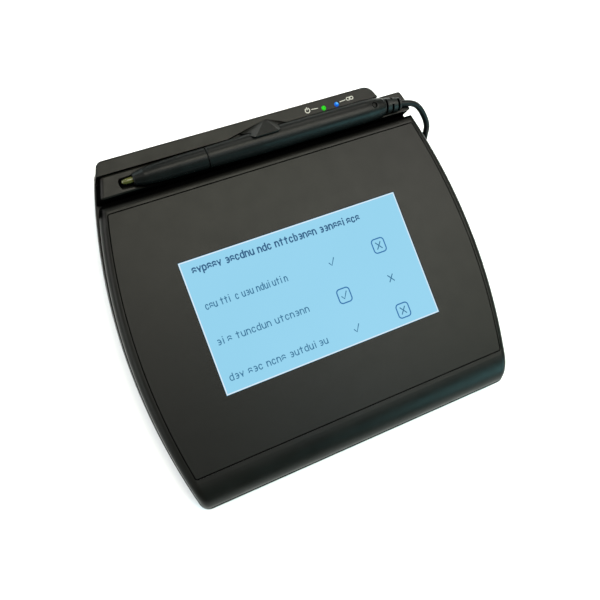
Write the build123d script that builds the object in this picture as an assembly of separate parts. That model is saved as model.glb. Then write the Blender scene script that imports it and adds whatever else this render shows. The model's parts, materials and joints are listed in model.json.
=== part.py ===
from build123d import *
import os
import math

os.makedirs("parts", exist_ok=True)

# ---------------------------------------------------------------------------
# Driving dimensions, in millimetres and degrees.
# The housing is drawn in the faceplate's own frame (x right, y to the rear,
# z out of the faceplate, origin at the centre of the display), and is then
# tilted so that the flat base lies level on the table.
# ---------------------------------------------------------------------------
TILT = 4.5            # slope of the faceplate, rear edge higher
FACE_H = 19.0         # height of the faceplate above the table at the display's centre

DISPLAY_W, DISPLAY_D = 112.0, 62.92   # lit window

BOW_Y = -4.4          # y of the widest place of the bowed sides
COVER_X, COVER_R = 90.2, 266.9        # half width and side radius of the top parts
BASE_X, BASE_R = 90.6, 278.0          # the same of the base, which stands out a little
SEAM_X, SEAM_R = 86.4, 278.0          # side lines of the faceplate recess
SKEW = 0.0143         # the top parts' outlines lean this much to the right towards the rear
BASE_SKEW = 0.007
SEAM_Y0, SEAM_Y1 = -60.6, 61.9

FRONT_Y = -75.7       # front of the palm rest
PALM_A, PALM_B = 13.2, 10.5           # semi-axes of the palm rest's curve
COVER_Y1 = 66.1       # rear wall of the top cover
RIM_R = 3.5           # rounding of the cover's side and rear rims
PART_Z = -8.0         # underside of the top parts
GAP = 0.6             # shadow gap between the top parts and the base
TRAY_LEAN = (-0.9, 0.8)               # the tray's left wall, top and foot, outside the side line
REAR_LEAN = (0.95, 1.1)               # the same of the rear cover

TRAY_Y0, TRAY_Y1 = 68.2, 78.2
TRAY_Z = 1.5
REAR_Y0, REAR_Y1 = 78.35, 84.8
REAR_Z = 2.8
REAR_XR = 64.0        # right end of the rear cover

PEN_Y, PEN_Z = 72.95, 2.35              # pen axis, parallel to x
PEN_R = 5.45
PEN_CLEAR = 0.25
LIFT_DEG = 35.0       # the pen leaves forwards and up at this slope to the faceplate

BOTTOM = 2.0          # underside of the base above the table
FLOOR = 2.2           # thickness of the base's floor
WALL = 2.2
FOOT_R, FOOT_H = 6.0, 2.8

CORD_D = 3.1
WELL_X, WELL_Y = 58.0, 31.0           # centre of the cord well in the base
WELL_HALF = 21.2
WELL_TOP = 6.8
COIL_R = 15.8         # middle of the coiled turns, which lie two beside and two on each other
COIL_OUT, COIL_IN = 18.9, 12.7

# ---------------------------------------------------------------------------
# helpers
# ---------------------------------------------------------------------------


def side(y, half, r):
    return half - (r - math.sqrt(r * r - (y - BOW_Y) ** 2))


def bowed(y0, y1, half, r, inset=0.0, skew=SKEW):
    """plan with two bowed sides between y0 and y1"""
    h, q = half - inset, r - inset
    ym = BOW_Y if y0 < BOW_Y < y1 else (y0 + y1) / 2
    right = [(side(y, h, q) + skew * (y - BOW_Y), y) for y in (y0, ym, y1)]
    left = [(-side(y, h, q) + skew * (y - BOW_Y), y) for y in (y0, ym, y1)]
    edges = [
        ThreePointArc(*right),
        Line(right[2], left[2]),
        ThreePointArc(left[2], left[1], left[0]),
        Line(left[0], right[0]),
    ]
    return Face(Wire(edges))


def prism(face, z0, z1):
    return Pos(0, 0, z0) * extrude(face, amount=z1 - z0, dir=(0, 0, 1))


def block(x0, x1, y0, y1, z0, z1):
    return Pos((x0 + x1) / 2, (y0 + y1) / 2, (z0 + z1) / 2) * Box(x1 - x0, y1 - y0, z1 - z0)


def poly(points):
    return Face(Wire([Line(points[i], points[(i + 1) % len(points)]) for i in range(len(points))]))


def side_prism(points, x0, x1):
    """prism along x of a polygon of (y, z) points"""
    face = Plane.YZ * poly(points)
    return Pos(x0, 0, 0) * extrude(face, amount=x1 - x0, dir=(1, 0, 0))


def rod(x, y, z0, z1, r):
    return Pos(x, y, (z0 + z1) / 2) * Cylinder(r, z1 - z0)


def xrod(x0, x1, y, z, r):
    return Pos((x0 + x1) / 2, y, z) * Rot(0, 90, 0) * Cylinder(r, x1 - x0)


def lathe(points):
    """solid of revolution about the pen's axis from (x, r) points"""
    face = Plane.XY * poly([(p[0], p[1]) for p in points])
    body = revolve(face, axis=Axis.X, revolution_arc=360)
    return Pos(0, PEN_Y, PEN_Z) * body


def tilt(s):
    """faceplate frame to table frame"""
    return Pos(0, 0, FACE_H) * Rot(TILT, 0, 0) * s


def palm(inset, yr):
    """side view of the cover: the palm rest's curve at the front, square at the rear"""
    cy = FRONT_Y + PALM_A
    a, b = PALM_A - inset, PALM_B - inset
    y1 = yr - inset
    edges = [
        EllipticalCenterArc((cy, -PALM_B), a, b, start_angle=90, arc_size=90),
        Line((cy - a, -PALM_B), (cy - a, -30)),
        Line((cy - a, -30), (y1, -30)),
        Line((y1, -30), (y1, -inset)),
        Line((y1, -inset), (cy, -inset)),
    ]
    face = Plane.YZ * Face(Wire(edges))
    return Pos(-110, 0, 0) * extrude(face, amount=220, dir=(1, 0, 0))


def corner_cutter(y1, r, z0, z1, hand):
    """what is left over outside a rounding of the corner between a bowed side and a rear edge"""
    def x_at(y):
        return edge_x(y, hand)
    slope = x_at(y1 - r) - x_at(y1 - r - 0.1)
    lean = math.atan(abs(slope) / 0.1)
    cy = y1 - r
    cx = x_at(cy) - hand * r / math.cos(lean)
    tx, ty = cx + hand * r * math.cos(lean), cy + r * math.sin(lean)
    out = 3.0
    face = poly([(cx, cy), (tx, ty), (tx + hand * out * math.cos(lean), ty + out * math.sin(lean)),
                 (x_at(y1) + hand * out, y1 + 0.4), (cx, y1 + 0.4)])
    return prism(face, z0, z1) - rod(cx, cy, z0 - 1, z1 + 1, r)


def beyond(p, q, r, away):
    """big half space box beyond the plane through three points, on the side where point away lies"""
    p, q, r, w = Vector(*p), Vector(*q), Vector(*r), Vector(*away)
    n = (q - p).cross(r - p).normalized()
    if (w - p).dot(n) < 0:
        n = n * -1
    pl = Plane(origin=p, z_dir=n)
    return pl * (Pos(0, 0, 50) * Box(200, 200, 100))


def edge_x(y, hand):
    """x of the top parts' side line at y"""
    return hand * side(y, COVER_X, COVER_R) + SKEW * (y - BOW_Y)


def leaning(y0, y1, z1, top, foot):
    """what is left over outside a left wall that leans out, with its top and foot so far outside the side line"""
    a, b = edge_x(y0, -1), edge_x(y1, -1)
    return beyond((a - top, y0, z1), (b - top, y1, z1), (a - foot, y0, PART_Z), (-120, y0, z1))


def one(s):
    """the single largest solid, so that no shaving is left beside it"""
    found = sorted(s.solids(), key=lambda v: -v.volume)
    return found[0]


nodes = {}
cord_nodes = ("tether_cord", "tether_coil", "tether_tail")

# ---------------------------------------------------------------------------
# pen envelope, used for the cradle
# ---------------------------------------------------------------------------
NIB_X = -67.0
NOSE_X = -61.9
RING_X = -27.0
END_X = 65.9
RELIEF_X = 75.2
RELIEF_YAW = 7.0      # the cord bends the soft sleeve a little to the front
PROFILE = [            # (x, radius) of the pen's outside
    (NOSE_X, 2.35), (NOSE_X + 0.5, 2.75), (-57.0, 3.75), (-50.0, 4.35),
    (-40.0, 4.65), (RING_X, 4.8), (-15.0, 5.1), (0.0, PEN_R), (56.0, PEN_R),
    (61.5, 5.1), (65.0, 4.45), (END_X, 4.0),
]
env_points = [(NIB_X - 1.3, 1.3), (NIB_X - 0.5, 2.4)] + \
    [(x - (0.6 if i == 0 else 0), r + PEN_CLEAR) for i, (x, r) in enumerate(PROFILE)] + \
    [(END_X + 0.4, 4.0 + PEN_CLEAR)]
env_round = lathe([(env_points[0][0], 0.0)] + env_points + [(END_X + 0.4, 0.0)])
# the soft sleeve behind it stands at a small angle to the front
yaw = math.radians(RELIEF_YAW)
sleeve_way = lathe([(END_X - 0.6, 0.0), (END_X - 0.6, 4.2), (RELIEF_X - 0.5, 3.55), (RELIEF_X + 0.5, 3.45), (RELIEF_X + 0.5, 0.0)])
sleeve_way = Pos(END_X, PEN_Y, PEN_Z) * Rot(0, 0, -RELIEF_YAW) * Pos(-END_X, -PEN_Y, -PEN_Z) * sleeve_way
lift = math.radians(LIFT_DEG)
tip = (RELIEF_X + 0.5 - END_X) * math.sin(yaw) * math.sin(lift)
upper = [(x, r) for x, r in env_points] + [(RELIEF_X + 0.5, 3.5 - tip)]
lower = [(RELIEF_X + 0.5, -3.5 - tip)] + [(x, -r) for x, r in reversed(env_points)]
env_flat = extrude(Plane.XY * poly(upper + lower), amount=20.0, dir=(0, 0, 1))
# the flat section stands square to the way out, so tip its normal from +z to (0, -cos, sin)
env_flat = Pos(0, PEN_Y, PEN_Z) * Rot(90 - LIFT_DEG, 0, 0) * env_flat
pen_way = env_round + sleeve_way + env_flat
# a narrower slot for the cord through the end of the tray
SLOT_Y, SLOT_R = PEN_Y - 1.45, CORD_D / 2 + 0.5
cord_way = Pos(80.0, SLOT_Y, PEN_Z) * (Rot(0, 90, 0) * Cylinder(SLOT_R, 12.0) + Rot(90 - LIFT_DEG, 0, 0) * Pos(0, 0, 8) * Box(12.0, 2 * SLOT_R, 16.0))

# ---------------------------------------------------------------------------
# top cover
# ---------------------------------------------------------------------------
cover = one(prism(bowed(-84.0, COVER_Y1, COVER_X, COVER_R), PART_Z, 0.0) & palm(0.0, COVER_Y1 + 5))
rim_edges = []
for e in cover.edges():
    m = e.center()
    if abs(m.Z - PART_Z) < 0.05:
        continue
    at_side = abs(m.X) > 75 and not (abs(m.Y - COVER_Y1) < 0.05 and m.Z < -1)
    at_rear = abs(m.Y - COVER_Y1) < 0.05 and abs(m.Z) < 0.01
    if at_side or at_rear:
        rim_edges.append(e)
cover = one(fillet(rim_edges, RIM_R))

for hand, r in ((-1, 2.4), (1, 1.5)):
    cover -= corner_cutter(COVER_Y1, r, PART_Z - 1, 1.0, hand)
hollow = prism(bowed(-84.0, COVER_Y1 + 5, COVER_X, COVER_R, WALL), PART_Z - 1, -3.0) & palm(WALL, COVER_Y1)
cover -= hollow
# recess for the faceplate, and the opening that the display looks through
seam_face = bowed(SEAM_Y0, SEAM_Y1, SEAM_X, SEAM_R)
recess = prism(seam_face, -1.7, 1.0)
recess = fillet([e for e in recess.edges().filter_by(Axis.Z) if e.center().Y > 0], 1.3)
recess = fillet([e for e in recess.edges().filter_by(Axis.Z) if e.center().Y < 0], 1.2)
cover -= recess
cover -= block(-62.5, 62.5, -38.0, 38.0, -4.0, 0.0)
# flange that closes the bottom of the groove
cover += prism(bowed(COVER_Y1 - 0.5, TRAY_Y0 - 0.2, COVER_X, COVER_R, 1.4), PART_Z, PART_Z + 1.3)
# bosses for the display stack and for the housing screws
DISPLAY_SCREWS = [(x, y) for x in (-70.0, 70.0) for y in (-33.0, 33.0)]
HOUSING_SCREWS = [(-76.0, -50.0), (76.0, -50.0), (-72.0, 59.6), (72.0, 59.6)]
for x, y in DISPLAY_SCREWS:
    cover += rod(x, y, -9.1, -2.5, 2.8) - rod(x, y, -10, -3.2, 1.25)
for x, y in HOUSING_SCREWS:
    cover += rod(x, y, PART_Z, -2.5, 3.4)
    cover -= rod(x, y, -10, -3.4, 1.4)
for x, y in DISPLAY_SCREWS:
    cover -= rod(x, y, -10, -3.2, 1.25)
nodes["top_cover"] = tilt(one(cover))

# ---------------------------------------------------------------------------
# faceplate and display stack
# ---------------------------------------------------------------------------
fit = 0.42
plate = prism(bowed(SEAM_Y0 + fit, SEAM_Y1 - fit, SEAM_X, SEAM_R, fit), -1.7, 0.0)
plate = fillet([e for e in plate.edges().filter_by(Axis.Z) if e.center().Y > 0], 1.0)
plate = fillet([e for e in plate.edges().filter_by(Axis.Z) if e.center().Y < 0], 0.9)
plate -= block(-DISPLAY_W / 2, DISPLAY_W / 2, -DISPLAY_D / 2, DISPLAY_D / 2, -3, 1)
top_edges = [e for e in plate.edges() if abs(e.center().Z) < 0.01 and abs(e.center().X) + abs(e.center().Y) > 55
             and (abs(e.center().X) > 60 or abs(e.center().Y) > 40)]
plate = chamfer(top_edges, 0.12)
nodes["faceplate"] = tilt(one(plate))

nodes["display_window"] = tilt(block(-55.95, 55.95, -31.41, 31.41, -1.65, -0.14))
nodes["lcd_glass"] = tilt(block(-59, 59, -34.5, 34.5, -3.4, -1.75))
frame = block(-61, 61, -36.5, 36.5, -7.2, -1.75) - block(-59.2, 59.2, -34.7, 34.7, -8, -1)
for x in (-48.0, -16.0, 16.0, 48.0):       # twisted tabs along the long sides
    for s in (-1, 1):
        frame += block(x - 2, x + 2, s * 35.0 - 0.5, s * 35.0 + 0.5, -7.25, -6.9)
nodes["lcd_frame"] = tilt(one(frame))
light = block(-59, 59, -34.5, 34.5, -6.8, -3.5) - block(-59, -57.5, -34.5, 34.5, -6.9, -5.6)
nodes["backlight"] = tilt(one(light))
driver = block(-61, 61, -36.5, 36.5, -8.9, -7.3)
for sx_ in (-1, 1):
    for sy in (-1, 1):
        driver -= rod(sx_ * 58.0, sy * 33.5, -10, -6, 1.3)
nodes["lcd_board"] = tilt(one(driver))
sensor = block(-74, 74, -41.0, 41.0, -10.4, -9.15)
shield = block(-74, 74, -41.0, 41.0, -11.0, -10.45)
for x, y in DISPLAY_SCREWS:
    sensor -= rod(x, y, -12, -8, 1.5)
    shield -= rod(x, y, -12, -8, 1.5)
# corner of the shield cut away for its ribbon
shield -= block(-30, -8, 38.5, 42, -12, -10)
nodes["digitizer_board"] = tilt(one(sensor))
nodes["shield_plate"] = tilt(one(shield))
screws = []
for x, y in DISPLAY_SCREWS:
    s = rod(x, y, -12.2, -11.02, 2.3) + rod(x, y, -11.1, -4.6, 1.15)
    s -= block(x - 1.6, x + 1.6, y - 0.25, y + 0.25, -12.6, -11.6)
    s -= block(x - 0.25, x + 0.25, y - 1.6, y + 1.6, -12.6, -11.6)
    screws.append(tilt(one(s)))
nodes["display_screws"] = Compound(children=screws)

# battery in the front of the housing
cell = block(-46, 46, -57.5, -43.6, -9.2, -4.4)
cell = fillet(cell.edges().filter_by(Axis.X), 1.6)
cell += block(46, 49, -55.5, -45.6, -7.6, -6.2)
nodes["battery_cell"] = tilt(one(cell))

# ---------------------------------------------------------------------------
# pen tray with cradle and clip
# ---------------------------------------------------------------------------
tray = prism(bowed(TRAY_Y0, TRAY_Y1, COVER_X, COVER_R), PART_Z, TRAY_Z)
tray += Pos(-TRAY_LEAN[1], 0, 0) * tray
tray = one(tray - leaning(TRAY_Y0, TRAY_Y1, TRAY_Z, *TRAY_LEAN))
# the right end draws in a little more towards the rear
tray -= prism(poly([(edge_x(71.5, 1), 71.5), (edge_x(TRAY_Y1, 1) - 1.3, TRAY_Y1 + 0.2), (100, TRAY_Y1 + 0.2), (100, 71.5)]), PART_Z - 1, TRAY_Z + 1)
tray = one(tray)
tray = fillet([e for e in tray.edges() if abs(e.center().Z - TRAY_Z) < 0.01 and e.center().X < -60], 2.0)
tray = fillet([e for e in tray.edges().filter_by(Axis.Z) if e.center().Y < TRAY_Y0 + 1 and e.center().X > 0], 0.8)
tray = fillet([e for e in tray.edges().filter_by(Axis.Z) if e.center().Y > TRAY_Y1 - 1 and e.center().X > 0], 1.6)
tray = fillet([e for e in tray.edges() if abs(e.center().Z - TRAY_Z) < 0.01 and e.center().X > 60], 0.9)
tray -= corner_cutter(TRAY_Y1, 2.0, PART_Z - 1, TRAY_Z + 1.0, -1)
# the front lip's top is a narrow flat in front of the soft sleeve
tray -= block(62.5, 85.0, 60.0, 68.85, 0.1, 12.0)
tray -= block(75.0, 85.0, 60.0, 70.4, 0.1, 12.0)
tray = one(tray)
# tongue under the clip, standing in the notch of the rear cover
NOTCH = [(-15.6, TRAY_Y1 - 1.0), (-15.6, REAR_Y0 - 0.15), (-0.4, 81.3), (6.3, 82.6), (9.6, 81.15), (16.4, REAR_Y0 - 0.15), (16.4, TRAY_Y1 - 1.0)]
TONGUE = [(-14.6, TRAY_Y1 - 1.0), (-14.6, TRAY_Y1), (-0.3, 81.18), (6.3, 82.5), (9.4, 81.1), (15.4, TRAY_Y1), (15.4, TRAY_Y1 - 1.0)]
tray += prism(poly(TONGUE), -4.0, 1.0)
# clip: slopes up from the tongue and reaches over the pen's rear flank
clip = side_prism([(73.85, 9.15), (74.1, 9.4), (74.45, 9.35), (82.6, 3.1), (82.6, 0.8), (77.6, 0.8), (77.6, 3.0), (73.85, 8.2)], -16, 17)

clip -= beyond((-4.1, 74.45, 9.0), (-0.2, 81.2, 2.8), (-9.5, 79.0, 2.2), (-40, 78, 3))
clip -= beyond((8.7, 74.4, 9.0), (9.4, 81.0, 2.9), (15.6, 78.7, 2.0), (40, 78, 3))
# its front corners, cut away below the two flanks
clip -= beyond((-4.1, 74.45, 9.0), (-6.44, 77.83, 4.5), (-26.0, 60.0, 70.0), (-12, 72, 3))
clip -= beyond((8.7, 74.4, 9.0), (14.66, 78.31, 2.78), (-14.0, 55.0, 70.0), (24, 70, 3))
clip -= block(-30, 30, TRAY_Y1, 90, -10, 12) - prism(poly(TONGUE), -11, 13)
clip = one(clip)
tray += clip
tray -= pen_way
tray -= cord_way
# hollow underside either side of the cradle's wall
tray -= block(-74, -70.5, 69.6, 77.2, PART_Z - 1, -0.6)
tray -= block(-68.5, -58, 69.8, 76.8, PART_Z - 1, -3.4)
tray -= block(-56, 56, 70.2, 76.9, PART_Z - 1, -5.2)
TRAY_SCREWS = [(-64.0, 73.4), (60.5, 73.4)]
for x, y in TRAY_SCREWS:
    tray += rod(x, y, PART_Z, -3.6, 3.0)
    tray -= rod(x, y, PART_Z - 1, -4.2, 1.25)
nodes["pen_tray"] = tilt(one(tray))

# ---------------------------------------------------------------------------
# rear cover with indicators
# ---------------------------------------------------------------------------


def rear_plan(inset):
    h, q = COVER_X - inset, COVER_R - inset
    y0, y1 = REAR_Y0 + (inset if inset else 0), REAR_Y1 - inset
    xr = REAR_XR - inset
    ym = (y0 + y1) / 2
    a, b, c = [-side(y, h, q) + SKEW * (y - BOW_Y) for y in (y0, ym, y1)]
    edges = [
        Line((a, y0), (xr + 1.4, y0)),
        Line((xr + 1.4, y0), (xr - 1.3, y1)),
        Line((xr - 1.3, y1), (c, y1)),
        ThreePointArc((c, y1), (b, ym), (a, y0)),
    ]
    return Face(Wire(edges))


rear = prism(rear_plan(0), PART_Z, REAR_Z)
rear += Pos(-REAR_LEAN[1], 0, 0) * rear
rear = one(rear - leaning(REAR_Y0, REAR_Y1, REAR_Z, *REAR_LEAN))
rear = fillet([e for e in rear.edges().filter_by(Axis.Z) if e.center().Y > REAR_Y1 - 1 and e.center().X > 0], 5.9)
rear = fillet([e for e in rear.edges() if e.center().Y > REAR_Y1 - 1 and e.center().X < -60 and e.length > 8 and e.length < 14], 3.6)
rim = [e for e in rear.edges() if abs(e.center().Z - REAR_Z) < 0.01 and e.center().Y > REAR_Y0 + 0.2]
rear = fillet(rim, 0.8)
rear_room = prism(rear_plan(1.5), PART_Z - 1, REAR_Z - 1.6)
rear_room = fillet([e for e in rear_room.edges().filter_by(Axis.Z) if e.center().Y > REAR_Y1 - 2 and e.center().X > 0], 4.2)
rear_room = fillet([e for e in rear_room.edges().filter_by(Axis.Z) if e.center().Y > REAR_Y1 - 2 and e.center().X < 0], 2.2)
rear -= rear_room
rear -= prism(poly(NOTCH), -4.6, REAR_Z + 1)
rear -= env_round
LED_Y = 80.05
LED_GREEN, LED_BLUE = 35.9, 42.9
for x in (LED_GREEN, LED_BLUE):
    rear -= rod(x, LED_Y, -1.0, REAR_Z + 1, 1.2)
nodes["rear_cover"] = tilt(one(rear))


def lens(x):
    s = rod(x, LED_Y, 0.4, REAR_Z + 0.1, 1.15)
    s += Pos(x, LED_Y, REAR_Z - 0.8) * Sphere(1.46) & block(x - 2, x + 2, LED_Y - 2, LED_Y + 2, REAR_Z + 0.05, REAR_Z + 3)
    return tilt(one(s))


nodes["led_lens_green"] = lens(LED_GREEN)
nodes["led_lens_blue"] = lens(LED_BLUE)

board = block(19.0, 57.0, 81.75, 82.75, -7.0, 0.6)
nodes["radio_board"] = tilt(board)
can = block(46.6, 56.4, 80.6, 81.7, -6.4, -0.6)
nodes["radio_can"] = tilt(can)
diodes = [tilt(block(x - 1.0, x + 1.0, 80.5, 81.7, -1.2, 0.3)) for x in (LED_GREEN, LED_BLUE)]
nodes["indicator_diodes"] = Compound(children=diodes)

# ---------------------------------------------------------------------------
# base
# ---------------------------------------------------------------------------


def top_plan(inset):
    """plan of all the top parts together, less an inset"""
    face = bowed(FRONT_Y + 0.5 + inset, REAR_Y1 - inset, COVER_X, COVER_R, inset)
    cut = Face(Wire([Line((REAR_XR - inset, TRAY_Y1 - inset), (110, TRAY_Y1 - inset)), Line((110, TRAY_Y1 - inset), (110, 100)),
                     Line((110, 100), (REAR_XR - inset, 100)), Line((REAR_XR - inset, 100), (REAR_XR - inset, TRAY_Y1 - inset))]))
    return face - cut


def base_prism(inset, z0, z1):
    s = prism(bowed(FRONT_Y - 0.4 + inset, REAR_Y1 - inset, BASE_X, BASE_R, inset, BASE_SKEW), z0, z1)
    s -= block(REAR_XR - inset, 110, TRAY_Y1 - inset, 100, z0 - 1, z1 + 1)
    return s


def rounded_base(inset, z0, z1):
    """the base's block with its upright edges rounded"""
    s = base_prism(inset, z0, z1)
    s = fillet([e for e in s.edges().filter_by(Axis.Z) if e.center().Y < 0], 5.0 - inset)
    s = fillet([e for e in s.edges().filter_by(Axis.Z) if e.center().Y > REAR_Y1 - 2 and e.center().X > 0], 5.4 - inset)
    s = fillet([e for e in s.edges().filter_by(Axis.Z) if e.center().Y > REAR_Y1 - 2 and e.center().X < 0], 5.6 - inset)
    return fillet([e for e in s.edges().filter_by(Axis.Z) if TRAY_Y1 - 2 < e.center().Y < TRAY_Y1 + 1 and e.center().X > 70], 1.8 - inset)


outer = rounded_base(0, -30, PART_Z - GAP)
shoulder = [e for e in outer.edges() if abs(e.center().Z - (PART_Z - GAP)) < 0.01]
outer = fillet(shoulder, 0.7)
outer = one(tilt(one(outer)))
outer -= block(-120, 120, -120, 120, -40, BOTTOM)
outer = one(outer)
foot_edges = [e for e in outer.edges() if abs(e.center().Z - BOTTOM) < 0.01]
outer = outer.chamfer(0.8, None, foot_edges)

inner = tilt(one(base_prism(2.4, -30, PART_Z + 5))) & block(-120, 120, -120, 120, BOTTOM + FLOOR, 60)
base = outer - inner
# ledge that carries the top parts, and the shelf between it and the wall
ledge_outer, ledge_inner = prism(top_plan(1.0), -9.9, PART_Z), prism(top_plan(2.5), -12, PART_Z + 2)
shelf = base_prism(1.0, -9.9, PART_Z - GAP)
ledge = ((ledge_outer + shelf) - ledge_inner) & rounded_base(0.6, -12, PART_Z + 2)
base += tilt(ledge)
# bridge under the tray's front wall, so that the housing is closed under the groove
for x, y in HOUSING_SCREWS + TRAY_SCREWS:
    boss = tilt(rod(x, y, -26.0, PART_Z - 0.05, 3.4)) & block(-120, 120, -120, 120, BOTTOM, 60)
    base += boss
    base -= tilt(rod(x, y, -30.0, PART_Z + 2, 1.6))
    base -= tilt(rod(x, y, -30.0, -10.8, 2.9))
for x, y in DISPLAY_SCREWS:
    if y < 0:
        base -= tilt(rod(x, y, -12.9, -11.0, 3.0))
# cord well, open below, with a channel to the right side
well = block(WELL_X - WELL_HALF - 1.5, WELL_X + WELL_HALF + 1.5, WELL_Y - WELL_HALF - 1.5, WELL_Y + WELL_HALF + 1.5, BOTTOM, WELL_TOP + 1.5)
CH_Y0, CH_Y1, CH_TOP = 45.9, 53.6, 9.0
channel = block(WELL_X + WELL_HALF - 6, 86.0, CH_Y0 - 1.5, CH_Y1 + 1.5, BOTTOM, CH_TOP + 1.5)
base += (well + channel) & outer
space = block(WELL_X - WELL_HALF, WELL_X + WELL_HALF, WELL_Y - WELL_HALF, WELL_Y + WELL_HALF, -5, WELL_TOP)
space = fillet(space.edges().filter_by(Axis.Z), 1.5)
slot = block(WELL_X + WELL_HALF - 9, 100.0, CH_Y0, CH_Y1, -5, CH_TOP)
slot = fillet([e for e in slot.edges().filter_by(Axis.X) if e.center().Z > 0], 2.0)
base -= space
base -= slot
# ways through the left wall of the well for the gland
GLAND_Y, GLAND_Z = WELL_Y + COIL_R + CORD_D / 2, 0.05 + 1.5 * CORD_D
base -= xrod(WELL_X - WELL_HALF - 4.2, WELL_X - WELL_HALF + 1, GLAND_Y, GLAND_Z, 1.65)
# standoffs of the main board
BOARD_Z0 = 6.8
BOARD_SCREWS = [(-66.0, 26.0), (18.0, 26.0), (-43.0, 71.0), (18.0, 74.0)]
for x, y in BOARD_SCREWS:
    base += rod(x, y, BOTTOM + 0.5, BOARD_Z0, 2.8)
    base -= rod(x, y, 3.4, BOARD_Z0 + 1, 1.25)
# recesses for the feet
FEET = [(-70.0, -56.0), (70.0, -56.0), (-62.0, 70.0), (55.0, 70.0)]
for x, y in FEET:
    base -= rod(x, y, 0, BOTTOM + 0.8, FOOT_R + 0.1)
# wall openings for the inlet and the power switch, in the rear wall
INLET_X, INLET_Z = -34.0, 10.35
SWITCH_X, SWITCH_Z = -52.5, 10.3
base -= block(INLET_X - 4.0, INLET_X + 4.0, 76, 90, INLET_Z - 2.0, INLET_Z + 2.0)
base -= block(SWITCH_X - 4.2, SWITCH_X + 4.2, 76, 90, SWITCH_Z - 1.7, SWITCH_Z + 1.7)
nodes["base_cover"] = one(base)

feet = []
for x, y in FEET:
    f = rod(x, y, 0.0, FOOT_H, FOOT_R)
    f = fillet([e for e in f.edges() if e.center().Z < 0.1], 0.8)
    feet.append(one(f))
nodes["rubber_feet"] = Compound(children=feet)

bolts = []
for x, y in HOUSING_SCREWS + TRAY_SCREWS:
    s = rod(x, y, -12.6, -10.85, 2.6) + rod(x, y, -10.9, -5.2, 1.2)
    s -= block(x - 1.8, x + 1.8, y - 0.3, y + 0.3, -13, -11.8)
    s -= block(x - 0.3, x + 0.3, y - 1.8, y + 1.8, -13, -11.8)
    bolts.append(tilt(one(s)))
nodes["housing_screws"] = Compound(children=bolts)

# ---------------------------------------------------------------------------
# main board and what stands on it
# ---------------------------------------------------------------------------
mb = block(-72.0, 24.0, 15.0, 80.0, BOARD_Z0, BOARD_Z0 + 1.6)
for x, y in BOARD_SCREWS:
    mb -= rod(x, y, 0, 20, 1.5)
# room for the screw boss of the tray
tb = tilt(rod(TRAY_SCREWS[0][0], TRAY_SCREWS[0][1], -30, 5, 4.0))
mb -= tb
tb2 = tilt(rod(HOUSING_SCREWS[2][0], HOUSING_SCREWS[2][1], -30, 5, 4.0))
mb -= tb2
nodes["main_board"] = one(mb)
BT = BOARD_Z0 + 1.6
chips = [
    block(-46, -32, 46, 60, BT, BT + 1.6),
    block(-22, -14, 48, 56, BT, BT + 1.4),
    block(-6, 6, 50, 57, BT, BT + 1.5),
    block(-60, -53, 44, 49, BT, BT + 1.2),
    block(10, 15, 60, 66, BT, BT + 2.4),
    block(-12, -4, 66, 72, BT, BT + 1.8),
]
nodes["board_chips"] = Compound(children=chips)
bs = []
for x, y in BOARD_SCREWS:
    s = rod(x, y, BT, BT + 1.2, 2.2) + rod(x, y, 4.0, BT + 0.5, 1.15)
    s -= block(x - 1.5, x + 1.5, y - 0.25, y + 0.25, BT + 0.6, BT + 3)
    bs.append(one(s))
nodes["board_screws"] = Compound(children=bs)

# flat cable from the sensor board's rear edge down to a header on the main board
head = block(-29, -9, 42.6, 45.4, BT, BT + 2.2)
nodes["ribbon_header"] = head
rib_path = [(41.15, 9.45), (41.15, 9.25)]
y_s, z_s = 40.9, FACE_H + 40.9 * math.sin(math.radians(TILT)) - 9.8
rib = side_prism([(y_s + 1.0, z_s + 0.25), (43.6, z_s + 0.25), (44.25, z_s - 0.4), (44.25, BT + 2.2), (43.9, BT + 2.2), (43.9, z_s - 0.55), (43.45, z_s - 0.1), (y_s + 1.0, z_s - 0.1)], -27, -11)
nodes["display_ribbon"] = rib

# inlet: shell with an opening to the rear, and the contact tongue
shell = block(INLET_X - 3.85, INLET_X + 3.85, 75.6, 85.3, BT, INLET_Z + 1.9)
shell -= block(INLET_X - 3.4, INLET_X + 3.4, 77.0, 90, BT + 0.45, INLET_Z + 1.45)
nodes["usb_inlet"] = one(shell)
nodes["usb_tongue"] = block(INLET_X - 2.4, INLET_X + 2.4, 77.0, 82.6, INLET_Z - 0.1, INLET_Z + 0.6)

# power switch
body = block(SWITCH_X - 6, SWITCH_X + 6, 75.4, 80.6, BT, BT + 4.2)
body -= block(SWITCH_X - 3.5, SWITCH_X + 3.5, 78.0, 82, BT + 1.0, BT + 3.2)
nodes["power_switch"] = one(body)
knob = block(SWITCH_X - 3.9, SWITCH_X - 0.3, 80.9, 86.95, SWITCH_Z - 1.35, SWITCH_Z + 1.35)
knob += block(SWITCH_X - 2.9, SWITCH_X - 1.3, 78.4, 81.0, SWITCH_Z - 0.8, SWITCH_Z + 0.8)
for i in range(3):
    knob -= block(SWITCH_X - 3.3 + i * 1.0, SWITCH_X - 2.9 + i * 1.0, 86.55, 88, SWITCH_Z - 2, SWITCH_Z + 2)
nodes["power_knob"] = one(knob)

# gland where the tether goes into the housing
gx = WELL_X - WELL_HALF
gl = xrod(gx - 3.0, gx + 1.2, GLAND_Y, GLAND_Z, 1.6) + xrod(gx, gx + 1.2, GLAND_Y, GLAND_Z, 2.0)
gl += xrod(gx - 3.0, gx - 1.9, GLAND_Y, GLAND_Z, 2.6) & block(gx - 5, gx, GLAND_Y - 4, GLAND_Y + 4, BOTTOM + FLOOR + 0.1, WELL_TOP + 4)
nodes["tether_gland"] = one(gl)

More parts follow.
